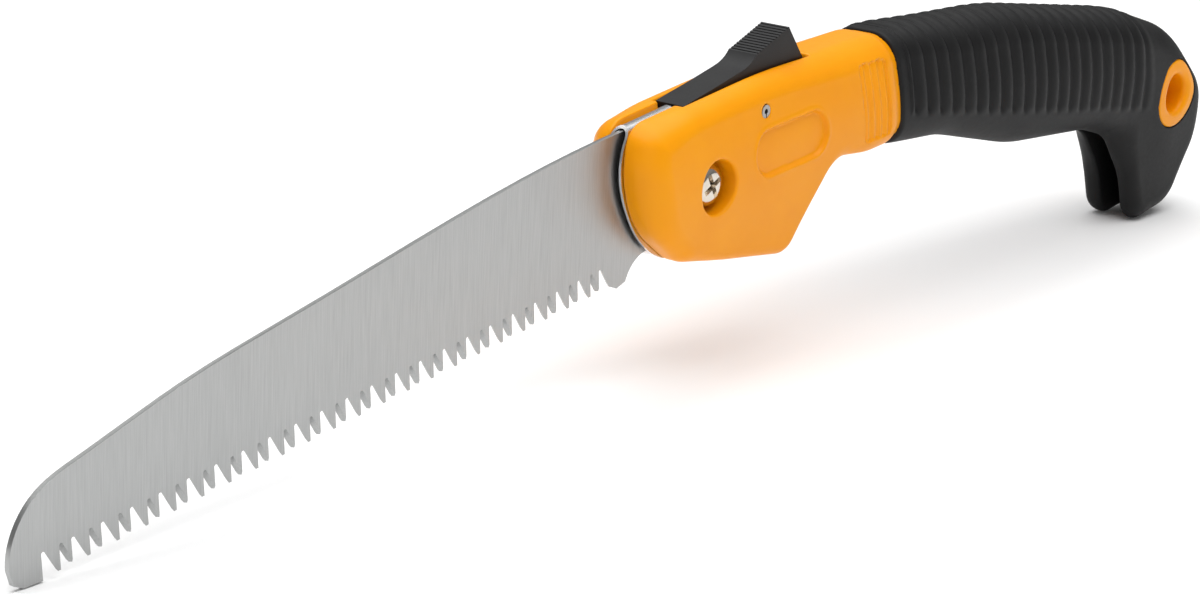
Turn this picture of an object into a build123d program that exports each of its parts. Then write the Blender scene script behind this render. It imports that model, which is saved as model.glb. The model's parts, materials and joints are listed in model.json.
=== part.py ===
from build123d import *
from math import atan2, cos, degrees, radians, sin
import os

os.makedirs("parts", exist_ok=True)

# A folding pruning saw, open. +X runs from the blade's tip to the butt of the handle, +Z is up and
# -Y is the left side, where the head of the pivot screw is. The saw stands on its blade tip and on
# the hook of its handle, and the origin is at the centre of the base of its box.
# Sizes are in millimetres. Outlines are drawn on SIDE, whose origin is the blade's pivot, whose
# local x runs along the tooth line towards the butt and whose local z points left.

# Where the pivot is, and how far the tooth line is tipped up
TILT = 8.0542
PIVOT_X = -16.124
PIVOT_Z = 43.6306

# Blade
BLADE_THICKNESS = 1.2
PITCH = 3.6286  # seven teeth to the inch
GULLET_COUNT = 45
FIRST_GULLET = -189.2
GULLET_TOP = -11.4
TOOTH_TIP = -16.4
GULLET_SKEW = 36  # degrees, alternately left and right
TANG_RADIUS = 13
LOCK_NOTCH = (5, 6.6)  # deep along the radius, and wide
OPEN_NOTCH_ANGLE = 77  # degrees from the tooth line, where the lever's tooth points at the pivot
FOLD_ANGLE = 169

# Handle
HALF_WIDTH = 11.2
EDGE_ROUND = 5.5
JUNCTION = 71.5  # where the rubber grip begins
GRIP_SKIN = 3
TONGUE_HALF_WIDTH = 8.4
BLADE_SLOT_HALF = 2.8
HANG_HOLE = (203.5, -38)
HANG_HOLE_RADIUS = 5
HANG_RING_RADIUS = 9.3

# Liner: the folded steel channel that the blade turns in
LINER_HALF = 2.3
LINER_SHEET = 0.6
INNER_HALF = LINER_HALF - LINER_SHEET
LINER_SLOT_END = 43.2
FOLD_TOP = 18.3
FOLD_ROUND = 2.2

# Pivot hardware
BUSH_RADIUS = 4
SHANK_RADIUS = 2.5
SEAT = 5.4  # half distance between the two washer seats
WASHER_THICKNESS = 0.5
WASHER_RADIUS = 5.8
RECESS_RADIUS = 6.2
HEAD_RADIUS = 5.2
HEAD_HEIGHT = 3.2
HEAD_DOME = 2.8
NUT_ACROSS_FLATS = 8
NUT_HEIGHT = 4.4
BLADE_WASHER_RADIUS = 9
BLADE_WASHER_THICKNESS = 1
RUNNING = 0.05

# Lock lever
LEVER_PIN = (19.3, 11.8)
PIN_RADIUS = 1.5
PIN_HALF_LENGTH = 9.9
PIN_BORE = 0.6
PIN_SLIT = 0.3
LEVER_HALF = 3.9
POCKET_HALF = 4.2
POCKET_FRONT = -3.4  # the gap ahead of the lever, whose front swings away from it
SPRING_AT = (33, 11.6)
SPRING_HEIGHT = 5.4
SPRING_RADIUS = 2.2
SPRING_WIRE = 0.3
SPRING_TURNS = 4.5

SIDE = Plane(
    origin=(PIVOT_X, 0, PIVOT_Z),
    x_dir=(cos(radians(TILT)), 0, sin(radians(TILT))),
    z_dir=(0, -1, 0),
)
UP = Axis(SIDE.origin, SIDE.y_dir)
ALONG = Axis(SIDE.origin, SIDE.x_dir)
FAR = 60  # more than any half width or height that has to be cut through
HEAD_SEAT = SEAT + WASHER_THICKNESS


def finish(builder, name):
    """Labels a finished piece and writes its file."""
    builder.part.label = name
    export_step(builder.part, f"parts/{name}.step")


# ---------------------------------------------------------------- blade
SPINE = [
    (-20, 17.3), (-47, 16.9), (-84.7, 14.1), (-119.7, 10.8), (-152.3, 7.5),
    (-177.9, 3.0), (-190.4, -0.7), (-195.8, -6.4), (-197.6, -12.0),
]  # fmt: skip
GULLET_ROOT = 0.45
ROOT_HEIGHT = GULLET_TOP - GULLET_ROOT
SLANT_FOOT = (2.35, TOOTH_TIP + 0.7)
STEEP_FOOT = (-0.72, TOOTH_TIP - 0.1)


with BuildPart() as blade:
    with BuildSketch(SIDE):
        with BuildLine():
            spine = Spline(*SPINE)
            tip = Polyline(spine @ 1, (-197.0, -15.2), (-194.8, -16.5), (-190.2, -16.9), (-189.8, -16.5))
            heel = Polyline(tip @ 1, (-30, TOOTH_TIP), (-26.9, TOOTH_TIP), (-24.7, -17.6), (-21.6, -17.0))
            hollow = ThreePointArc(heel @ 1, (-18.6, -13.7), (-13.5, -12.3))
            neck_end = (-4.3, -12.27)
            lower = Line(hollow @ 1, neck_end)
            tang = ThreePointArc(neck_end, (TANG_RADIUS, 0), (-2.9, 12.67))
            shoulder = Polyline(tang @ 1, (-6, 17.3), SPINE[0])
        make_face()
    extrude(amount=BLADE_THICKNESS / 2, both=True)
    for first, side in ((0, -1), (1, 1)):
        skew = (SIDE.z_dir + SIDE.x_dir * side * sin(radians(GULLET_SKEW))).normalized()
        with BuildSketch(SIDE):
            for index in range(first, GULLET_COUNT, 2):
                x = FIRST_GULLET + index * PITCH
                with BuildLine():
                    steep = Line((x + STEEP_FOOT[0], STEEP_FOOT[1]), (x - GULLET_ROOT, ROOT_HEIGHT))
                    root = ThreePointArc(steep @ 1, (x, GULLET_TOP), (x + GULLET_ROOT, ROOT_HEIGHT))
                    slant = Line(root @ 1, (x + SLANT_FOOT[0], SLANT_FOOT[1]))
                    flat = Line(slant @ 1, (x + PITCH + STEEP_FOOT[0], STEEP_FOOT[1]))
                    Polyline(flat @ 1, (x + PITCH + STEEP_FOOT[0], -FAR), (x + STEEP_FOOT[0], -FAR), steep @ 0)
                make_face()
        extrude(amount=3 * BLADE_THICKNESS, both=True, dir=skew, mode=Mode.SUBTRACT)
    with BuildSketch(SIDE):
        Circle(BUSH_RADIUS + RUNNING)
        with PolarLocations(TANG_RADIUS, 1, start_angle=OPEN_NOTCH_ANGLE):
            Rectangle(*LOCK_NOTCH)
        with PolarLocations(TANG_RADIUS, 1, start_angle=OPEN_NOTCH_ANGLE - FOLD_ANGLE):
            Rectangle(*LOCK_NOTCH)
    extrude(amount=BLADE_THICKNESS, both=True, mode=Mode.SUBTRACT)
finish(blade, "blade")

# ---------------------------------------------------------------- handle outline, shared by core and grip
# Corner by corner from the top of the nose, over the grip, round the butt and the hook, back under.
OUTLINE = [
    (-20.5, 18.9, 6), (24, 18.9, 200), (75, 14.9, 150), (125, 6.6, 150), (185, -10.6, 100),
    (207.6, -21, 30), (222.9, -41, 18), (220.6, -54.5, 20), (206.5, -71.3, 12), (187.4, -71.3, 6.5),
    (184.9, -56, 20), (178, -44, 12), (166, -38.6, 15), (129, -31, 80), (96, -18.2, 60),
    (45, -7.3, 9), (28.1, -25.8, 5.8), (-9.8, -15.5, 8), (-21.5, -4, 22), (-23.2, 9, 20),
]  # fmt: skip
SLOT_CEILING = [(LINER_SLOT_END, 9.7), (198, -20.4)]

with BuildPart() as outer:
    with BuildSketch(SIDE) as handle_outline:
        with BuildLine():
            FilletPolyline(*[(x, y) for x, y, _ in OUTLINE], radius=[r for _, _, r in OUTLINE], close=True)
        make_face()
    extrude(amount=HALF_WIDTH, both=True)
    fillet(outer.faces().filter_by(Axis.Y).edges(), EDGE_ROUND)

# The plastic core runs on inside the rubber, from the junction to the root of the hook.
with BuildPart() as tongue:
    with BuildSketch(SIDE):
        add(handle_outline.sketch_local)
        offset(amount=-GRIP_SKIN)
        with BuildLine():
            Polyline(
                (JUNCTION - 12, FAR), (FAR * 4, FAR), (FAR * 4, -52), (196, -50), (176, -41),
                (JUNCTION - 12, -41), (JUNCTION - 12, FAR),
            )  # fmt: skip
        make_face(mode=Mode.INTERSECT)
    extrude(amount=TONGUE_HALF_WIDTH, both=True)

with BuildPart() as slot:
    with BuildSketch(SIDE):
        with BuildLine():
            Polyline(
                (-FAR, FAR), (LINER_SLOT_END, FAR), (LINER_SLOT_END, -FAR), (-FAR, -FAR), (-FAR, FAR),
            )  # fmt: skip
        make_face()
    extrude(amount=LINER_HALF, both=True)
    with BuildSketch(SIDE):
        with BuildLine():
            ceiling = Line(*SLOT_CEILING)
            back = ThreePointArc(ceiling @ 1, (198, -28.3), (193.5, -50.6))
            Polyline(back @ 1, (199, -62), (199, -90), (LINER_SLOT_END, -90), ceiling @ 0)
        make_face()
    extrude(amount=BLADE_SLOT_HALF, both=True)


# ---------------------------------------------------------------- handle core
STADIUM_AT = (27.5, 1.9)
STADIUM = (16.5, 10.8)  # between centres, and across
STADIUM_DEPTH = 0.8
PANEL_AT = (61.5, 1.5)
PANEL_GROOVE = (1.5, 17)
PANEL_PITCH = 2.6
PANEL_DEPTH = 0.6
POCKET = [
    (POCKET_FRONT, FAR), (POCKET_FRONT, 13.8), (14.2, 13.8), (14.6, 7.6), (24.4, 7.6), (24.4, 11.6),
    (41.5, 11.6), (43.2, 14), (43.6, FAR), (POCKET_FRONT, FAR),
]  # fmt: skip

with BuildPart() as handle_core:
    add(outer.part)
    with BuildSketch(SIDE):
        with Locations((JUNCTION + 2 * FAR, 0)):
            Rectangle(4 * FAR, 6 * FAR)
    extrude(amount=FAR, both=True, mode=Mode.SUBTRACT)
    add(tongue.part)
    with BuildSketch(SIDE):
        with Locations(HANG_HOLE):
            Circle(HANG_RING_RADIUS)
    extrude(amount=HALF_WIDTH, both=True)
    with BuildSketch(SIDE):
        with Locations(HANG_HOLE):
            Circle(HANG_HOLE_RADIUS)
        Circle(BUSH_RADIUS)
        with Locations(LEVER_PIN):
            Circle(PIN_RADIUS)
    extrude(amount=HALF_WIDTH, both=True, mode=Mode.SUBTRACT)
    add(slot.part, mode=Mode.SUBTRACT)
    with BuildSketch(SIDE):
        with BuildLine():
            Polyline(*POCKET)
        make_face()
    extrude(amount=POCKET_HALF, both=True, mode=Mode.SUBTRACT)
    for side in (1, -1):
        with BuildSketch(SIDE.offset(side * SEAT)):
            Circle(RECESS_RADIUS)
        extrude(amount=side * HALF_WIDTH, mode=Mode.SUBTRACT)
        with BuildSketch(SIDE.offset(side * (HALF_WIDTH - STADIUM_DEPTH))):
            with Locations(STADIUM_AT):
                SlotCenterToCenter(*STADIUM, rotation=-2.5)
        extrude(amount=side * HALF_WIDTH, mode=Mode.SUBTRACT)
        with BuildSketch(SIDE.offset(side * (HALF_WIDTH - PANEL_DEPTH))):
            with Locations(PANEL_AT):
                with GridLocations(PANEL_PITCH, 0, 5, 1):
                    SlotOverall(PANEL_GROOVE[1], PANEL_GROOVE[0], rotation=90)
        extrude(amount=side * HALF_WIDTH, mode=Mode.SUBTRACT)
finish(handle_core, "handle_core")

# ---------------------------------------------------------------- rubber grip
with BuildPart() as grip_overmould:
    add(outer.part)
    with BuildSketch(SIDE):
        with Locations((JUNCTION - 2 * FAR, 0)):
            Rectangle(4 * FAR, 6 * FAR)
    extrude(amount=FAR, both=True, mode=Mode.SUBTRACT)
    add(tongue.part, mode=Mode.SUBTRACT)
    with BuildSketch(SIDE):
        with Locations(HANG_HOLE):
            Circle(HANG_RING_RADIUS)
    extrude(amount=FAR, both=True, mode=Mode.SUBTRACT)
    add(slot.part, mode=Mode.SUBTRACT)
finish(grip_overmould, "grip_overmould")

# ---------------------------------------------------------------- liner
LINER_FRONT = [(-18.8, FOLD_TOP), (-21.8, 14.4), (-23.4, 8), (-22.0, -0.2), (-18.6, -7.5), (-10.6, -14.9)]
LINER_BACK = [
    (-10.6, -14.9), (21, -22.9), (27, -19.5), (36, -9), (36, 5), (15.2, 7.2), (11, 13.4),
    (POCKET_FRONT, 13.4), (POCKET_FRONT, FOLD_TOP), (-18.8, FOLD_TOP),
]  # fmt: skip

with BuildPart() as channel:
    with BuildSketch(SIDE):
        with Locations((0, FOLD_TOP - LINER_SHEET - FAR)):
            Rectangle(2 * FAR, 2 * FAR)
    extrude(amount=INNER_HALF, both=True)
    fillet(channel.faces().sort_by(UP)[-1].edges().filter_by(ALONG), FOLD_ROUND - LINER_SHEET)

with BuildPart() as liner:
    with BuildSketch(SIDE):
        with BuildLine():
            Spline(*LINER_FRONT)
            Polyline(*LINER_BACK)
        make_face()
    extrude(amount=LINER_HALF, both=True)
    fillet(liner.faces().sort_by(UP)[-1].edges().filter_by(ALONG), FOLD_ROUND)
    add(channel.part, mode=Mode.SUBTRACT)
    with BuildSketch(SIDE):
        Circle(BUSH_RADIUS)
    extrude(amount=FAR, both=True, mode=Mode.SUBTRACT)
finish(liner, "liner")

# ---------------------------------------------------------------- pivot hardware
with BuildPart() as pivot_bush:
    with BuildSketch(SIDE):
        Circle(BUSH_RADIUS)
        Circle(SHANK_RADIUS + RUNNING, mode=Mode.SUBTRACT)
    extrude(amount=SEAT, both=True)
finish(pivot_bush, "pivot_bush")

for name, side in (("blade_washer_left", 1), ("blade_washer_right", -1)):
    with BuildPart() as blade_washer:
        with BuildSketch(SIDE.offset(side * INNER_HALF)):
            Circle(BLADE_WASHER_RADIUS)
            Circle(BUSH_RADIUS, mode=Mode.SUBTRACT)
        extrude(amount=-side * BLADE_WASHER_THICKNESS)
    finish(blade_washer, name)

for name, side in (("screw_washer", 1), ("nut_washer", -1)):
    with BuildPart() as seat_washer:
        with BuildSketch(SIDE.offset(side * SEAT)):
            Circle(WASHER_RADIUS)
            Circle(SHANK_RADIUS + RUNNING, mode=Mode.SUBTRACT)
        extrude(amount=side * WASHER_THICKNESS)
    finish(seat_washer, name)

SHANK_SHORT_OF_NUT = 0.3
SHANK_END = HEAD_SEAT + NUT_HEIGHT - SHANK_SHORT_OF_NUT
CROSS_DEPTH = 2.1
CROSS_LENGTH = 6
CROSS_WIDTH = 1.3
CROSS_TURN = 20
CROSS_TAPER = 14

with BuildPart() as pivot_screw:
    with BuildSketch(SIDE.offset(HEAD_SEAT)):
        Circle(HEAD_RADIUS)
    extrude(amount=HEAD_HEIGHT)
    fillet(pivot_screw.edges().sort_by(Axis.Y)[0], HEAD_DOME)
    with BuildSketch(SIDE.offset(HEAD_SEAT)):
        Circle(SHANK_RADIUS)
    extrude(amount=-(HEAD_SEAT + SHANK_END))
    with BuildSketch(SIDE.offset(HEAD_SEAT + HEAD_HEIGHT)):
        Rectangle(CROSS_LENGTH, CROSS_WIDTH, rotation=CROSS_TURN)
        Rectangle(CROSS_WIDTH, CROSS_LENGTH, rotation=CROSS_TURN)
    extrude(amount=-CROSS_DEPTH, taper=CROSS_TAPER, mode=Mode.SUBTRACT)
finish(pivot_screw, "pivot_screw")

INSERT_DEPTH = 1.2
INSERT_RADIUS = 3.3
NUT_CHAMFER = 0.3

with BuildPart() as pivot_nut:
    with BuildSketch(SIDE.offset(-HEAD_SEAT)):
        RegularPolygon(NUT_ACROSS_FLATS / 2, 6, major_radius=False)
        Circle(SHANK_RADIUS, mode=Mode.SUBTRACT)
    extrude(amount=-NUT_HEIGHT)
    with BuildSketch(SIDE.offset(-HEAD_SEAT - NUT_HEIGHT)):
        Circle(INSERT_RADIUS)
    extrude(amount=INSERT_DEPTH, mode=Mode.SUBTRACT)
    chamfer(pivot_nut.faces().sort_by(Axis.Y)[-1].edges().filter_by(GeomType.LINE), NUT_CHAMFER)
finish(pivot_nut, "pivot_nut")

with BuildPart() as nut_insert:
    with BuildSketch(SIDE.offset(-HEAD_SEAT - NUT_HEIGHT)):
        Circle(INSERT_RADIUS)
        Circle(SHANK_RADIUS, mode=Mode.SUBTRACT)
    extrude(amount=INSERT_DEPTH)
finish(nut_insert, "nut_insert")

# ---------------------------------------------------------------- lock lever
# From the front end along the top, over the thumb pad and back underneath
LEVER_FRONT = [(-2.6, 14.2), (-2.6, 18.4)]
LEVER_SWEEP = [(-2.6, 18.4), (8, 19.35), (17, 20.25), (21.4, 21.0), (24.3, 22.7)]
LEVER_PAD = [(24.3, 22.7), (36.9, 25.7), (41.8, 17.0), (24.2, 17.0), (22.0, 14.2), (-2.6, 14.2)]
RIB_START, RIB_END = (24.9, 22.9), (36.2, 25.6)
RIB_COUNT = 12
RIB_GROOVE = (0.35, 0.5)
HUB_RADIUS = 3.4
FORK_AT = (19.5, 11.4)  # the hub is forked so that the tang clears it
FORK = (11, 8)
FORK_HALF_WIDTH = 1.3
TOOTH_AT = (3, 13.5)
TOOTH = (5, 4)
TOOTH_HALF_WIDTH = 0.75
TOOTH_GAP = 0.3

with BuildPart() as lock_lever:
    with BuildSketch(SIDE):
        with BuildLine():
            Polyline(*LEVER_FRONT)
            Spline(*LEVER_SWEEP)
            Polyline(*LEVER_PAD)
        make_face()
        with Locations(LEVER_PIN):
            Circle(HUB_RADIUS)
    extrude(amount=LEVER_HALF, both=True)
    with BuildSketch(SIDE):
        rise = atan2(RIB_END[1] - RIB_START[1], RIB_END[0] - RIB_START[0])
        for index in range(RIB_COUNT):
            share = index / (RIB_COUNT - 1)
            x = RIB_START[0] + share * (RIB_END[0] - RIB_START[0])
            y = RIB_START[1] + share * (RIB_END[1] - RIB_START[1])
            with Locations((x, y)):
                Rectangle(*RIB_GROOVE, rotation=degrees(rise))
    extrude(amount=FAR, both=True, mode=Mode.SUBTRACT)
    with BuildSketch(SIDE):
        with Locations(FORK_AT):
            Rectangle(*FORK)
    extrude(amount=FORK_HALF_WIDTH, both=True, mode=Mode.SUBTRACT)
    with BuildSketch(SIDE):
        with Locations(TOOTH_AT):
            Rectangle(*TOOTH)
        Circle(TANG_RADIUS + TOOTH_GAP, mode=Mode.SUBTRACT)
    extrude(amount=TOOTH_HALF_WIDTH, both=True)
    with BuildSketch(SIDE):
        with Locations(LEVER_PIN):
            Circle(PIN_RADIUS + RUNNING)
    extrude(amount=FAR, both=True, mode=Mode.SUBTRACT)
finish(lock_lever, "lock_lever")

with BuildPart() as lever_pin:
    with BuildSketch(SIDE):
        with Locations(LEVER_PIN):
            Circle(PIN_RADIUS)
            Circle(PIN_BORE, mode=Mode.SUBTRACT)
        with Locations((LEVER_PIN[0], LEVER_PIN[1] - PIN_RADIUS)):
            Rectangle(PIN_SLIT, 2 * PIN_RADIUS, mode=Mode.SUBTRACT)
    extrude(amount=PIN_HALF_LENGTH, both=True)
finish(lever_pin, "lever_pin")

SPRING_BASE = Plane(
    origin=SIDE.from_local_coords((SPRING_AT[0], SPRING_AT[1] + SPRING_WIRE, 0)),
    x_dir=SIDE.x_dir,
    z_dir=SIDE.y_dir,
)
with BuildPart() as lever_spring:
    rise = SPRING_HEIGHT - 2 * SPRING_WIRE - 0.3
    with BuildLine(SPRING_BASE):
        wire = Helix(rise / SPRING_TURNS, rise, SPRING_RADIUS)
    with BuildSketch(Plane(origin=wire @ 0, z_dir=wire % 0)):
        Circle(SPRING_WIRE)
    sweep(is_frenet=True)
finish(lever_spring, "lever_spring")
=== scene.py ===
"""The looks of a folding pruning saw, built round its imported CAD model."""

import json
from math import atan2, cos, pi, radians, sin, sqrt, tan

import bpy
import numpy as np
from mathutils import Matrix, Vector


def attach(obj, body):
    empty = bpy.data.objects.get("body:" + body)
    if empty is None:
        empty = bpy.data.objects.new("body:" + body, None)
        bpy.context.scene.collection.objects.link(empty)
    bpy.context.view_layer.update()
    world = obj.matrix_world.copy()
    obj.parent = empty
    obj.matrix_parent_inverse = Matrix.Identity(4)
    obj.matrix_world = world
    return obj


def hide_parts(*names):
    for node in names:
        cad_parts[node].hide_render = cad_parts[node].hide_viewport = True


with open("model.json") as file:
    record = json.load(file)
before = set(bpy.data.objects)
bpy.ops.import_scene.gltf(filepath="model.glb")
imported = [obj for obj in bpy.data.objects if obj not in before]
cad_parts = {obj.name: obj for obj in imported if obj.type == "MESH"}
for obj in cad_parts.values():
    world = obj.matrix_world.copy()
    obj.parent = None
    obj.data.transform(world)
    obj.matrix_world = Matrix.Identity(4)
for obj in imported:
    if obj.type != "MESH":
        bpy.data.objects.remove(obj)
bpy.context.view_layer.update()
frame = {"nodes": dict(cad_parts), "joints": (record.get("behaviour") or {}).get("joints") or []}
nodes = frame["nodes"]

# ------------------------------------------------------------------ where things are
# The handle is drawn in millimetres from the blade's pivot: u runs along the tooth line towards the
# butt, v is square to it in the saw's plane, and y is across the saw, as in the frame.
MM = 0.001
TILT = radians(8.0542)
blade_fold = next(joint for joint in frame["joints"] if joint["name"] == "blade_fold")
PIVOT = np.array(blade_fold["pos_m"], float)


def in_frame(u, y, v):
    """Points of the handle's own axes, in millimetres, as an array of points of the frame in metres."""
    x = PIVOT[0] + MM * (u * cos(TILT) - v * sin(TILT))
    z = PIVOT[2] + MM * (u * sin(TILT) + v * cos(TILT))
    return np.stack([x, MM * y, z], axis=-1)


# ------------------------------------------------------------------ sizes of the handle, in millimetres
# Corners of its outline (u, v, radius), from the top of the nose over the grip and round the hook
OUTLINE = [
    (-20.5, 18.9, 6), (24, 18.9, 200), (75, 14.9, 150), (125, 6.6, 150), (185, -10.6, 100),
    (207.6, -21, 30), (222.9, -41, 18), (220.6, -54.5, 20), (206.5, -71.3, 12), (187.4, -71.3, 6.5),
    (184.9, -56, 20), (178, -44, 12), (166, -38.6, 15), (129, -31, 80), (96, -18.2, 60),
    (45, -7.3, 9), (28.1, -25.8, 5.8), (-9.8, -15.5, 8), (-21.5, -4, 22), (-23.2, 9, 20),
]  # fmt: skip
HALF_WIDTH = 11.2
BARREL = 0.011  # how fast the sides draw in above and below their middle
BARREL_DROP = 2.8  # and how far in the end
BUTT_DROP_LESS = (1.3, 0.2)  # how much less far at the butt, above and below the middle
MIDDLE_AT_PIVOT = 1  # height of the middle of the sides
MIDDLE_FALL = (0.056, 0.19)  # how steeply it falls, in the nose and in the grip
MIDDLE_LOWEST = -24
BUTT_START = 180
BUTT_LENGTH = 24
BUTT_MIDDLE_FALL = 14  # how much lower the middle is at the butt
JUNCTION = 71.5  # where the rubber begins
LIP_DROP = 0.8  # how far the plastic rounds down under the rubber's edge
LIP_LENGTH = 5
NOSE_ROUND_ABOVE = 5
NOSE_ROUND_BELOW = 2.2
GRIP_ROUND = 6.5
SKIN = 3  # of rubber over the tongue
TONGUE_HALF = 8.4
LINER_SLOT_HALF = 2.35
BLADE_SLOT_HALF = 2.8
LINER_SLOT_END = 43.2
SLOT_CEILING = ((43.2, 9.7), (198, -20.4))
SLOT_CORNER = 6
SLOT_END = 197.8  # the slot's rear wall, straight down to the bend
SLOT_BEND = -28  # from here down to the throat it curves forwards
SLOT_BEND_CURVE = 0.011
SLOT_THROAT = -50  # under here it flares back between the lobes of the hook
SLOT_FLARE = 0.5
SLOT_FLARE_DEPTH = 11
TONGUE_BOTTOM = -41
HANG_HOLE = (203.5, -38)
HANG_HOLE_RADIUS = 5
HANG_HOLE_MOUTH = 2.2  # how softly its ends open
RING_RADIUS = 9.3
RECESS_RADIUS = 6.2
RECESS_FLOOR = 5.4
PIN_AT = (19.3, 11.8)
PIN_HOLE_RADIUS = 1.55
STADIUM_AT = (27.5, 1.9)
STADIUM_HALF_LENGTH = 8.25
STADIUM_RADIUS = 5.4
STADIUM_LEAN = radians(-2.5)
STADIUM_DEPTH = 0.95
STADIUM_RIM = 0.12  # how far the rim round it stands up
PANEL_AT = (61.3, 2.0)
PANEL_HALF = (5.6, 9.6)
PANEL_CORNER = 1.5
PANEL_LEAN = 0.1
PANEL_DEPTH = 0.28
PANEL_PITCH = 2.7
PANEL_RIB = 0.22  # half the depth of its grooves
POCKET_HALF = 4.2
POCKET_FRONT = -3.5
POCKET_BACK = 43.6
POCKET_STEPS = ((14.4, 13.8), (24.4, 7.6))  # each the end of a step and the height of its floor
POCKET_FLOOR = 11.6
RIB_PITCH = 5.45
FIRST_GROOVE = 77.5
LAST_GROOVE = 190
GROOVE_DEPTH = 0.7
GROOVE_HALF = 0.9
GROOVE_FADE = 0.45  # the share of their depth that the grooves lose along the grip
RIB_FOOT_AT = (72.5, -4.1)  # a point of the line where the ribs end on the sides
RIB_FOOT_SLOPE = 0.292
RIB_CROWN = 0.5


# ------------------------------------------------------------------ signed distances, negative inside
def arc_points(corner, before, after, radius, step=0.7):
    """The points of the arc that rounds a corner of an outline."""
    one, two = before - corner, after - corner
    one, two = one / np.linalg.norm(one), two / np.linalg.norm(two)
    half = 0.5 * np.arccos(np.clip(one @ two, -1, 1))
    middle = (one + two) / np.linalg.norm(one + two)
    centre = corner + middle * radius / sin(half)
    first, last = (corner + way * radius / tan(half) - centre for way in (one, two))
    start = atan2(first[1], first[0])
    turn = (atan2(last[1], last[0]) - start + pi) % (2 * pi) - pi
    angles = start + turn * np.linspace(0, 1, max(2, int(abs(turn) * radius / step)) + 1)
    return centre + radius * np.stack([np.cos(angles), np.sin(angles)], axis=1)


def rounded(corners):
    """A closed outline of (u, v, radius) corners as the points of a polygon."""
    places = np.array([corner[:2] for corner in corners], float)
    rows = []
    for index, (_, _, radius) in enumerate(corners):
        before, after = places[index - 1], places[(index + 1) % len(places)]
        rows.append(arc_points(places[index], before, after, radius))
    return np.concatenate(rows)


def polygon_distance(points, u, v):
    """Distance to a closed polygon from each of many points."""
    at = np.stack([u, v], axis=1).astype(np.float32)
    nearest = np.full(len(at), 1e9, np.float32)
    inside = np.zeros(len(at), bool)
    for start, end in zip(points, np.roll(points, -1, axis=0)):
        along, to = (end - start).astype(np.float32), at - start.astype(np.float32)
        share = np.clip((to @ along) / (along @ along), 0, 1)
        gap = to - share[:, None] * along
        np.minimum(nearest, (gap * gap).sum(1), out=nearest)
        if start[1] != end[1]:
            crosses = (at[:, 1] < start[1]) != (at[:, 1] < end[1])
            inside ^= crosses & (to[:, 0] < along[0] * to[:, 1] / along[1])
    distance = np.sqrt(nearest)
    return np.where(inside, -distance, distance)


class FlatShape:
    """Distance to a closed outline, worked out once on a fine grid and read smoothly between its points."""

    STEP = 0.4
    MARGIN = 6

    def __init__(self, points):
        self.low = points.min(0) - self.MARGIN
        self.count = np.ceil((points.max(0) + self.MARGIN - self.low) / self.STEP).astype(int) + 1
        u, v = (low + self.STEP * np.arange(n) for low, n in zip(self.low, self.count))
        u, v = np.meshgrid(u, v, indexing="ij")
        self.grid = polygon_distance(points, u.ravel(), v.ravel()).reshape(self.count)

    def __call__(self, u, v):
        u, v = np.broadcast_arrays(u, v)
        total = 0
        a, b = (u - self.low[0]) / self.STEP, (v - self.low[1]) / self.STEP
        i = np.clip(np.floor(a).astype(np.int32), 1, self.count[0] - 3)
        j = np.clip(np.floor(b).astype(np.int32), 1, self.count[1] - 3)
        across = list(cubic_weights(b - j))
        for row, weight in enumerate(cubic_weights(a - i)):
            line = sum(w * self.grid[i + row - 1, j + k - 1] for k, w in enumerate(across))
            total = total + weight * line
        return total


def cubic_weights(share):
    """Catmull-Rom weights of the four grid points round a place."""
    square, cube = share**2, share**3
    yield 0.5 * (-cube + 2 * square - share)
    yield 0.5 * (3 * cube - 5 * square + 2)
    yield 0.5 * (-3 * cube + 4 * square + share)
    yield 0.5 * (cube - square)


def circle(centre, radius, u, v):
    return np.hypot(u - centre[0], v - centre[1]) - radius


def box(half_u, half_v, u, v):
    """Distance to an upright rectangle round the origin."""
    a, b = np.abs(u) - half_u, np.abs(v) - half_v
    return np.hypot(np.maximum(a, 0), np.maximum(b, 0)) + np.minimum(np.maximum(a, b), 0)


def thick(flat, width, radius):
    """A flat shape made thick across the saw, with its edges rounded."""
    a, b = flat + radius, width + radius
    return np.minimum(np.maximum(a, b), 0) + np.hypot(np.maximum(a, 0), np.maximum(b, 0)) - radius


def meet(a, b, blend):
    """Where both shapes are, with a soft edge of that size."""
    over = np.maximum(blend - np.abs(a - b), 0) / blend
    return np.maximum(a, b) + over * over * blend / 4


def cut(a, b, blend):
    """The first shape without the second, with a soft edge of that size."""
    return meet(a, -b, blend)


def ease(value):
    """0 below 0, 1 above 1, and smooth between."""
    value = np.clip(value, 0, 1)
    return value * value * (3 - 2 * value)


def rise(value, start, length):
    """0 up to start, 1 after that length, and smooth between. A length below 0 rises the other way."""
    return ease((value - start) / length)


# ------------------------------------------------------------------ shapes of the handle
body_outline = FlatShape(rounded(OUTLINE))


def half_width(u, v):
    """Half the width of the sides, which bulge a little."""
    middle = MIDDLE_AT_PIVOT - MIDDLE_FALL[0] * np.minimum(u, JUNCTION)
    middle = middle - MIDDLE_FALL[1] * np.maximum(u - JUNCTION, 0)
    butt = rise(u, BUTT_START, BUTT_LENGTH)
    middle = np.maximum(middle, MIDDLE_LOWEST) - BUTT_MIDDLE_FALL * butt
    most = BARREL_DROP - butt * np.where(v > middle, *BUTT_DROP_LESS)
    return HALF_WIDTH - most * (1 - np.exp(-BARREL * (v - middle) ** 2 / most))


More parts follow.
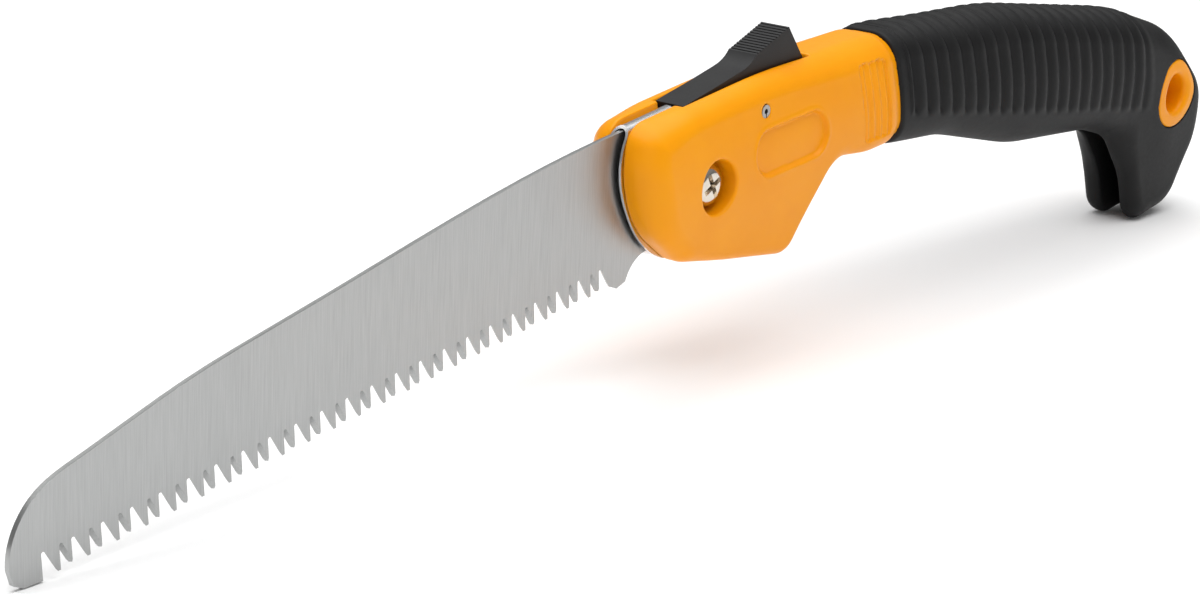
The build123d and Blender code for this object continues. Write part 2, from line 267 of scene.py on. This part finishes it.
def blade_slot(u, y, v):
    """The slot, in the grip and the back of the nose, that the folded blade lies in."""
    (u0, v0), (u1, v1) = SLOT_CEILING
    slope = (v1 - v0) / (u1 - u0)
    under = (v - v0 - slope * (u - u0)) / sqrt(1 + slope * slope)
    curve = SLOT_BEND_CURVE * (np.clip(v, SLOT_THROAT, SLOT_BEND) - SLOT_BEND) ** 2
    flare = SLOT_FLARE * np.clip(SLOT_THROAT - v, 0, SLOT_FLARE_DEPTH)
    rear = u - (SLOT_END - curve + flare)
    flat = meet(under, rear, SLOT_CORNER)
    return np.maximum(np.maximum(flat, LINER_SLOT_END - u), np.abs(y) - BLADE_SLOT_HALF)


def nose_radius(u, v):
    """How round the bolster's outer edges are: soft on top and in front, crisper underneath."""
    above = NOSE_ROUND_ABOVE + 1.5 * rise(u, 0, JUNCTION) + 2.5 * rise(u, -4, -16)
    below = NOSE_ROUND_BELOW + 4.3 * rise(u, 56, 16) + 2.2 * rise(u, 6, -18)
    return below + (above - below) * rise(v, -11, 17)


def plastic_nose(u, y, v):
    """The orange bolster that holds the pivot and the lever."""
    drop = LIP_DROP * ease((u - JUNCTION + LIP_LENGTH) / LIP_LENGTH) ** 2
    flat = body_outline(u, v)
    solid = thick(flat + drop, np.abs(y) - half_width(u, v) + drop, nose_radius(u, v))
    solid = np.maximum(solid, u - JUNCTION - 0.3)
    liner_slot = np.maximum(np.abs(y) - LINER_SLOT_HALF, u - LINER_SLOT_END)
    solid = cut(solid, liner_slot, 0.5)
    solid = cut(solid, blade_slot(u, y, v), 0.6)
    pocket = np.maximum(np.abs(y) - POCKET_HALF, np.maximum(POCKET_FRONT - u, u - POCKET_BACK))
    (front_end, front_floor), (middle_end, middle_floor) = POCKET_STEPS
    floor = np.where(u < front_end, front_floor, np.where(u < middle_end, middle_floor, POCKET_FLOOR))
    solid = cut(solid, meet(pocket, floor - v, 0.6), 0.9)
    side = np.abs(y)
    recess = np.maximum(circle((0, 0), RECESS_RADIUS, u, v), RECESS_FLOOR - side)
    solid = cut(solid, recess, 0.8)
    solid = cut(solid, circle(PIN_AT, PIN_HOLE_RADIUS, u, v), 0.3)
    a = (u - STADIUM_AT[0]) * cos(STADIUM_LEAN) + (v - STADIUM_AT[1]) * sin(STADIUM_LEAN)
    b = (v - STADIUM_AT[1]) * cos(STADIUM_LEAN) - (u - STADIUM_AT[0]) * sin(STADIUM_LEAN)
    stadium = np.hypot(np.maximum(np.abs(a) - STADIUM_HALF_LENGTH, 0), b) - STADIUM_RADIUS
    hollow = STADIUM_DEPTH * ease(0.3 - stadium)
    rim = STADIUM_RIM * np.exp(-((stadium - 0.5) ** 2) / 0.35)
    solid = solid + hollow - rim
    ribs = PANEL_RIB + PANEL_RIB * np.cos(2 * pi * (u - PANEL_AT[0]) / PANEL_PITCH)
    half_u, half_v = (half - PANEL_CORNER for half in PANEL_HALF)
    leaning = v - PANEL_AT[1] - PANEL_LEAN * (PANEL_AT[0] - u)
    shape = box(half_u, half_v, u - PANEL_AT[0], leaning) - PANEL_CORNER
    within = ease(-shape / 0.7)
    facing = ease((side - half_width(u, v) + 4) / 2)
    return solid + facing * within * (PANEL_DEPTH + ribs)


def outer_grip(u, y, v):
    """The rubber's smooth outside, before its ribs and slot."""
    hook = rise(v, -44, -14)
    hook_front = rise(v, -40, -8) * rise(u, 196, -10)
    radius = GRIP_ROUND + 1.7 * rise(u, JUNCTION, 30) - 3 * hook - 2 * hook_front
    return thick(body_outline(u, v), np.abs(y) - half_width(u, v), radius)


def tongue(u, y, v):
    """The plastic core inside the rubber, with the blade's slot through it."""
    solid = np.maximum(outer_grip(u, y, v) + SKIN, np.abs(y) - TONGUE_HALF)
    solid = np.maximum(solid, np.maximum(TONGUE_BOTTOM - v, JUNCTION - 1 - u))
    solid = cut(solid, circle(HANG_HOLE, HANG_HOLE_RADIUS + 1, u, v), 0.3)
    return cut(solid, blade_slot(u, y, v), 0.6)


def ring(u, y, v):
    """The plastic eye that the saw hangs by."""
    body = outer_grip(u, y, v) + 0.05
    solid = meet(body, circle(HANG_HOLE, RING_RADIUS - 0.05, u, v), 0.5)
    return cut(solid, circle(HANG_HOLE, HANG_HOLE_RADIUS, u, v), HANG_HOLE_MOUTH)


def rubber(u, y, v):
    """The ribbed grip with its hook."""
    body = outer_grip(u, y, v)
    phase = (u - FIRST_GROOVE) / RIB_PITCH
    nearest = np.abs(phase - np.round(phase)) * RIB_PITCH
    ends = RIB_FOOT_AT[1] - RIB_FOOT_SLOPE * (u - RIB_FOOT_AT[0])
    mask = ease((v - ends) / 3 + 0.5) * ease((u - FIRST_GROOVE + RIB_PITCH / 2) / 0.5)
    mask = mask * ease((LAST_GROOVE + RIB_PITCH / 2 - u) / 9)
    crown = RIB_CROWN * np.sin(pi * phase) ** 2
    depth = GROOVE_DEPTH * (1 - GROOVE_FADE * rise(u, 110, 60))
    groove = depth * np.exp(-((nearest / GROOVE_HALF) ** 2))
    body = body + mask * (groove - crown)
    body = meet(body, JUNCTION - u, 1.2)
    soft = 0.8 + 1.2 * rise(v, SLOT_THROAT, -12)
    body = cut(body, blade_slot(u, y, v), soft)
    body = np.maximum(body, -tongue(u, y, v) + 0.02)
    return cut(body, circle(HANG_HOLE, RING_RADIUS, u, v), 0.4)


# ------------------------------------------------------------------ meshes from distances
CORNERS = [(i, j, k) for i in (0, 1) for j in (0, 1) for k in (0, 1)]
EDGES = [(a, b) for a in range(8) for b in range(a + 1, 8) if bin(a ^ b).count("1") == 1]


def surface_net(shape, low, high, step):
    """Vertices and quads of the surface where shape(u, y, v) is zero, one vertex to each cell it crosses."""
    u, y, v = (np.arange(a, b + step, step) for a, b in zip(low, high))
    field = shape(u[:, None, None], y[None, :, None], v[None, None, :]).astype(np.float32)
    inside = field < 0
    part = [slice(0, -1), slice(1, None)]
    count = sum(inside[part[i], part[j], part[k]].astype(np.int8) for i, j, k in CORNERS)
    cells = np.argwhere((count > 0) & (count < 8))
    number = np.full(count.shape, -1, np.int32)
    number[tuple(cells.T)] = np.arange(len(cells))
    values = [field[tuple((cells + corner).T)] for corner in CORNERS]
    total, hits = np.zeros((len(cells), 3)), np.zeros(len(cells))
    for a, b in EDGES:
        crossing = (values[a] < 0) != (values[b] < 0)
        share = values[a][crossing] / (values[a][crossing] - values[b][crossing])
        start, end = np.array(CORNERS[a], float), np.array(CORNERS[b], float)
        total[crossing] += start + share[:, None] * (end - start)
        hits[crossing] += 1
    places = np.array([u[0], y[0], v[0]]) + (cells + total / hits[:, None]) * step
    quads = []
    for axis in range(3):
        here, there = [slice(None)] * 3, [slice(None)] * 3
        here[axis], there[axis] = slice(0, -1), slice(1, None)
        change = inside[tuple(here)] != inside[tuple(there)]
        at = np.argwhere(change)
        b, c = [k for k in range(3) if k != axis]
        keep = (at[:, b] > 0) & (at[:, c] > 0)
        keep &= (at[:, b] < inside.shape[b] - 1) & (at[:, c] < inside.shape[c] - 1)
        at = at[keep]
        ring_of = []
        for db, dc in ((1, 1), (0, 1), (0, 0), (1, 0)):
            cell = at.copy()
            cell[:, b] -= db
            cell[:, c] -= dc
            ring_of.append(number[tuple(cell.T)])
        quad = np.stack(ring_of, axis=1)
        outward = inside[tuple(at.T)] ^ (axis == 1)
        quad[~outward] = quad[~outward][:, ::-1]
        quads.append(quad)
    return places, np.concatenate(quads)


def gradient(shape, places, reach=0.02):
    """Which way the distance grows at each point, and the distance there."""
    u, y, v = places.T
    rows = [shape(u + reach, y, v) - shape(u - reach, y, v)]
    rows.append(shape(u, y + reach, v) - shape(u, y - reach, v))
    rows.append(shape(u, y, v + reach) - shape(u, y, v - reach))
    return np.stack(rows, axis=1) / (2 * reach), shape(u, y, v)


def solid_mesh(shape, low, high, step):
    """A closed surface with its points drawn onto the shape, and the normals there, in the frame."""
    places, quads = surface_net(shape, low, high, step)
    for _ in range(2):
        slope, value = gradient(shape, places)
        move = -slope * (value / np.maximum((slope**2).sum(1), 0.2))[:, None]
        length = np.linalg.norm(move, axis=1, keepdims=True)
        places = places + move * np.minimum(1, 0.6 * step / np.maximum(length, 1e-9))
    slope, _ = gradient(shape, places, 0.04)
    slope /= np.maximum(np.linalg.norm(slope, axis=1, keepdims=True), 1e-9)
    normals = in_frame(*slope.T) - in_frame(0.0, 0.0, 0.0)
    normals /= np.linalg.norm(normals, axis=1, keepdims=True)
    return in_frame(*places.T), quads, normals


def make_piece(name, parts, material):
    """One smooth object of several closed surfaces."""
    starts = np.cumsum([0] + [len(points) for points, _, _ in parts])
    points = np.concatenate([p for p, _, _ in parts])
    quads = np.concatenate([q + start for (_, q, _), start in zip(parts, starts)])
    normals = np.concatenate([n for _, _, n in parts])
    mesh = bpy.data.meshes.new(name)
    mesh.vertices.add(len(points))
    mesh.vertices.foreach_set("co", points.astype(np.float32).ravel())
    mesh.loops.add(quads.size)
    mesh.loops.foreach_set("vertex_index", quads.astype(np.int32).ravel())
    mesh.polygons.add(len(quads))
    mesh.polygons.foreach_set("loop_start", np.arange(0, quads.size, 4, dtype=np.int32))
    mesh.polygons.foreach_set("use_smooth", np.ones(len(quads), bool))
    mesh.update(calc_edges=True)
    mesh.validate()
    mesh.normals_split_custom_set_from_vertices(normals)
    mesh.materials.append(material)
    piece = bpy.data.objects.new(name, mesh)
    bpy.context.scene.collection.objects.link(piece)
    return piece


# ------------------------------------------------------------------ materials
class Finish:
    """A node material, built step by step."""

    def __init__(self, name, **values):
        self.material = bpy.data.materials.new(name)
        self.material.use_nodes = True
        self.tree = self.material.node_tree
        self.shader = self.tree.nodes["Principled BSDF"]
        self.place = self.add("ShaderNodeTexCoord").outputs["Object"]
        for key, value in values.items():
            self.shader.inputs[key.replace("_", " ")].default_value = value

    def add(self, kind, **settings):
        node = self.tree.nodes.new(kind)
        for key, value in settings.items():
            setattr(node, key, value)
        return node

    def link(self, source, target):
        self.tree.links.new(source, target)

    def noise(self, scale, detail=4, roughness=0.5, stretch=(1, 1, 1), turn=(0, 0, 0)):
        """Noise in the object's own space, with scale in cycles a metre."""
        mapping = self.add("ShaderNodeMapping")
        mapping.inputs["Scale"].default_value = stretch
        mapping.inputs["Rotation"].default_value = turn
        self.link(self.place, mapping.inputs["Vector"])
        noise = self.add("ShaderNodeTexNoise")
        noise.inputs["Scale"].default_value = scale
        noise.inputs["Detail"].default_value = detail
        noise.inputs["Roughness"].default_value = roughness
        self.link(mapping.outputs["Vector"], noise.inputs["Vector"])
        return noise.outputs["Fac"]

    def between(self, value, low, high, start=0.0, end=1.0):
        """A value from one range onto another."""
        node = self.add("ShaderNodeMapRange")
        node.inputs["From Min"].default_value = start
        node.inputs["From Max"].default_value = end
        node.inputs["To Min"].default_value = low
        node.inputs["To Max"].default_value = high
        self.link(value, node.inputs["Value"])
        return node.outputs["Result"]

    def colours(self, value, *stops):
        """A colour from a value, by (place, colour) stops."""
        ramp = self.add("ShaderNodeValToRGB")
        elements = ramp.color_ramp.elements
        while len(elements) < len(stops):
            elements.new(0.5)
        for element, (place, colour) in zip(elements, stops):
            element.position = place
            element.color = (*colour, 1)
        self.link(value, ramp.inputs["Fac"])
        return ramp.outputs["Color"]

    def bump(self, value, depth, strength=1.0, after=None):
        """Relief of that depth in metres, on top of another one if after is given."""
        node = self.add("ShaderNodeBump")
        node.inputs["Strength"].default_value = strength
        node.inputs["Distance"].default_value = depth
        self.link(value, node.inputs["Height"])
        if after is not None:
            self.link(after, node.inputs["Normal"])
        return node.outputs["Normal"]

    def set(self, socket, source):
        self.link(source, self.shader.inputs[socket])


def orange_plastic():
    """Glossy injection-moulded plastic, a little uneven in tone."""
    finish = Finish("orange_plastic", IOR=1.46, Specular_IOR_Level=0.2)
    cloud = finish.noise(60, 3)
    finish.set("Base Color", finish.colours(cloud, (0.3, (0.87, 0.305, 0.0)), (0.7, (0.91, 0.34, 0.001))))
    finish.set("Roughness", finish.between(finish.noise(500, 4), 0.27, 0.38))
    wave = finish.bump(finish.noise(90, 2), 0.00012, 0.25)
    finish.set("Normal", finish.bump(finish.noise(2600, 3), 0.00001, 0.15, wave))
    finish.shader.inputs["Subsurface Weight"].default_value = 0.05
    finish.shader.inputs["Subsurface Radius"].default_value = (1.0, 0.4, 0.1)
    finish.shader.inputs["Subsurface Scale"].default_value = 0.002
    return finish.material


def black_rubber():
    """Soft moulded rubber with a fine spark-eroded grain."""
    finish = Finish("black_rubber", IOR=1.45, Specular_IOR_Level=0.26)
    cloud = finish.noise(140, 5)
    stops = (0.3, (0.006, 0.006, 0.0063)), (0.7, (0.009, 0.009, 0.0093))
    finish.set("Base Color", finish.colours(cloud, *stops))
    finish.set("Roughness", finish.between(finish.noise(900, 4), 0.5, 0.62))
    finish.set("Normal", finish.bump(finish.noise(3800, 5, 0.6), 0.00003, 0.5))
    return finish.material


def black_plastic():
    """The lever's harder, matt plastic."""
    finish = Finish("black_plastic", IOR=1.48, Specular_IOR_Level=0.3)
    cloud = finish.noise(200, 4)
    stops = (0.3, (0.008, 0.008, 0.0086)), (0.7, (0.011, 0.011, 0.0117))
    finish.set("Base Color", finish.colours(cloud, *stops))
    finish.set("Roughness", finish.between(finish.noise(1500, 4), 0.42, 0.52))
    finish.set("Normal", finish.bump(finish.noise(5200, 4), 0.000015, 0.35))
    return finish.material


def brushed_steel():
    """Ground saw steel: fine lines across the blade, with small specks."""
    finish = Finish("blade_steel", Metallic=1.0, Anisotropic=0.35)
    lines = finish.noise(220, 6, 0.65, stretch=(14, 14, 0.35), turn=(0, radians(8), 0))
    broad = finish.noise(24, 3, stretch=(2.5, 2.5, 0.6))
    finish.set("Base Color", finish.colours(lines, (0.3, (0.35, 0.355, 0.353)), (0.7, (0.43, 0.435, 0.433))))
    rough = finish.add("ShaderNodeMath", operation="ADD")
    finish.link(finish.between(lines, 0.3, 0.4), rough.inputs[0])
    finish.link(finish.between(broad, -0.03, 0.03), rough.inputs[1])
    finish.set("Roughness", rough.outputs[0])
    finish.set("Normal", finish.bump(lines, 0.00002, 0.3))
    return finish.material


def bright_metal(name, colour, rough, grain=900):
    """Plated or rolled metal with faint handling marks."""
    finish = Finish(name, Metallic=1.0)
    cloud = finish.noise(grain, 4)
    dark = tuple(0.93 * part for part in colour)
    finish.set("Base Color", finish.colours(cloud, (0.35, dark), (0.65, colour)))
    finish.set("Roughness", finish.between(finish.noise(grain * 2.3, 3), rough * 0.8, rough * 1.25))
    finish.set("Normal", finish.bump(finish.noise(grain * 1.7, 3), 0.00001, 0.2))
    return finish.material


def white_nylon():
    finish = Finish("nylon", IOR=1.53)
    cloud = finish.noise(300, 3)
    finish.set("Base Color", finish.colours(cloud, (0.3, (0.7, 0.69, 0.66)), (0.7, (0.8, 0.79, 0.76))))
    finish.set("Roughness", finish.between(cloud, 0.35, 0.5))
    return finish.material


for packed in list(bpy.data.materials):
    bpy.data.materials.remove(packed)
ORANGE = orange_plastic()
RUBBER = black_rubber()
LEVER_BLACK = black_plastic()
BLADE_STEEL = brushed_steel()
LINER_STEEL = bright_metal("liner_steel", (0.78, 0.78, 0.79), 0.18)
PLATED = bright_metal("plated_steel", (0.64, 0.59, 0.52), 0.1)
SPRING_STEEL = bright_metal("spring_steel", (0.36, 0.35, 0.34), 0.28)
NYLON = white_nylon()
FINISHES = {
    "blade": BLADE_STEEL,
    "liner": LINER_STEEL,
    "lock_lever": LEVER_BLACK,
    "lever_pin": SPRING_STEEL,
    "lever_spring": SPRING_STEEL,
    "pivot_screw": PLATED,
    "pivot_nut": PLATED,
    "screw_washer": PLATED,
    "nut_washer": PLATED,
    "pivot_bush": PLATED,
    "blade_washer_left": NYLON,
    "blade_washer_right": NYLON,
    "nut_insert": NYLON,
    "handle_core": ORANGE,
    "grip_overmould": RUBBER,
}
BEVELS = {"lock_lever": 0.35, "liner": 0.12, "pivot_screw": 0.15, "blade": 0.05}  # millimetres
SHARP = radians(40)  # edges that turn by more than this are bevelled
for name, material in FINISHES.items():
    node = nodes[name]
    node.data.materials.clear()
    node.data.materials.append(material)
    if name in BEVELS:
        bevel = node.modifiers.new("edges", "BEVEL")
        bevel.width = BEVELS[name] * MM
        bevel.segments = 3
        bevel.limit_method = "ANGLE"
        bevel.angle_limit = SHARP
        bevel.harden_normals = False

# ------------------------------------------------------------------ the handle's two moulded pieces
# Each is worked out on a grid of that step, in a box that holds it, both in millimetres
COARSE = 1.0
NOSE_STEP, CORE_STEP, EYE_STEP, GRIP_STEP = 0.48, 0.9, 0.45, 0.58
nose = solid_mesh(plastic_nose, (-26, -12, -27), (74, 12, 22), NOSE_STEP * COARSE)
core = solid_mesh(tongue, (69, -9.5, -43), (213, 9.5, 13), CORE_STEP * COARSE)
eye = solid_mesh(ring, (193, -12, -49), (214, 12, -27), EYE_STEP * COARSE)
handle_core = make_piece("handle_core_moulded", [nose, core, eye], ORANGE)
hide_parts("handle_core")
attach(handle_core, "handle")

skin = solid_mesh(rubber, (70, -12, -74), (223, 12, 18), GRIP_STEP * COARSE)
grip = make_piece("grip_moulded", [skin], RUBBER)
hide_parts("grip_overmould")
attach(grip, "handle")

# ------------------------------------------------------------------ floor, light and camera
FOCAL = 93.6
SENSOR = 36
FLOOR_HALF = 4.0
UNDER_THE_FEET = 0.0002


def add_floor():
    mesh = bpy.data.meshes.new("floor")
    half = FLOOR_HALF
    corners = [(-half, -half, 0), (half, -half, 0), (half, half, 0), (-half, half, 0)]
    mesh.from_pydata(corners, [], [(0, 1, 2, 3)])
    floor = bpy.data.objects.new("floor", mesh)
    bpy.context.scene.collection.objects.link(floor)
    pale = Finish("floor_pale", Roughness=0.9)
    stops = (0.3, (0.93, 0.93, 0.93)), (0.7, (0.95, 0.95, 0.95))
    pale.set("Base Color", pale.colours(pale.noise(3, 2), *stops))
    mesh.materials.append(pale.material)
    floor.location.z = -UNDER_THE_FEET


def add_lamp(name, place, target, size, watts):
    """A rectangular soft lamp; places and sizes are in metres."""
    lamp = bpy.data.lights.new(name, "AREA")
    lamp.shape = "RECTANGLE"
    lamp.size, lamp.size_y = size
    lamp.energy = watts
    holder = bpy.data.objects.new(name, lamp)
    holder.location = place
    holder.rotation_mode = "QUATERNION"
    holder.rotation_quaternion = (Vector(target) - Vector(place)).to_track_quat("-Z", "Y")
    bpy.context.scene.collection.objects.link(holder)


add_floor()
add_lamp("softbox_above", (0, 0.1, 2.2), (0, 0, 0), (3.2, 3.2), 72)
add_lamp("key_above", (-0.1, -0.25, 0.9), (0, 0, 0.04), (1.0, 0.8), 1.5)
add_lamp("fill_left", (-0.9, -0.9, 0.45), (0, 0, 0.04), (0.9, 0.7), 1.0)

world = bpy.data.worlds.new("studio")
bpy.context.scene.world = world
world.use_nodes = True
tree = world.node_tree
place = tree.nodes.new("ShaderNodeTexCoord")
split = tree.nodes.new("ShaderNodeSeparateXYZ")
ramp = tree.nodes.new("ShaderNodeValToRGB")
ramp.color_ramp.elements[0].position = 0.0
ramp.color_ramp.elements[0].color = (0.55, 0.55, 0.55, 1)
ramp.color_ramp.elements[1].position = 0.75
ramp.color_ramp.elements[1].color = (1.0, 1.0, 1.0, 1)
tree.links.new(place.outputs["Generated"], split.inputs["Vector"])
tree.links.new(split.outputs["Z"], ramp.inputs["Fac"])
tree.links.new(ramp.outputs["Color"], tree.nodes["Background"].inputs["Color"])
tree.nodes["Background"].inputs["Strength"].default_value = 0.4

AZIMUTH, ELEVATION, ROLL = radians(-51.62), radians(16.2), radians(2.43)
DISTANCE = 0.67802
AIM = Vector((-0.02688, 0, -0.02195))  # from the pivot to the middle of the view
TARGET = Vector(PIVOT) + AIM
back = Vector((sin(AZIMUTH) * cos(ELEVATION), -cos(AZIMUTH) * cos(ELEVATION), sin(ELEVATION)))
camera_data = bpy.data.cameras.new("camera")
camera_data.lens, camera_data.sensor_width = FOCAL, SENSOR
camera = bpy.data.objects.new("camera", camera_data)
camera.location = TARGET + back * DISTANCE
camera.rotation_mode = "QUATERNION"
camera.rotation_quaternion = (-back).to_track_quat("-Z", "Y") @ Matrix.Rotation(ROLL, 3, "Z").to_quaternion()
bpy.context.scene.collection.objects.link(camera)
bpy.context.scene.camera = camera
bpy.context.scene.view_settings.view_transform = "Standard"
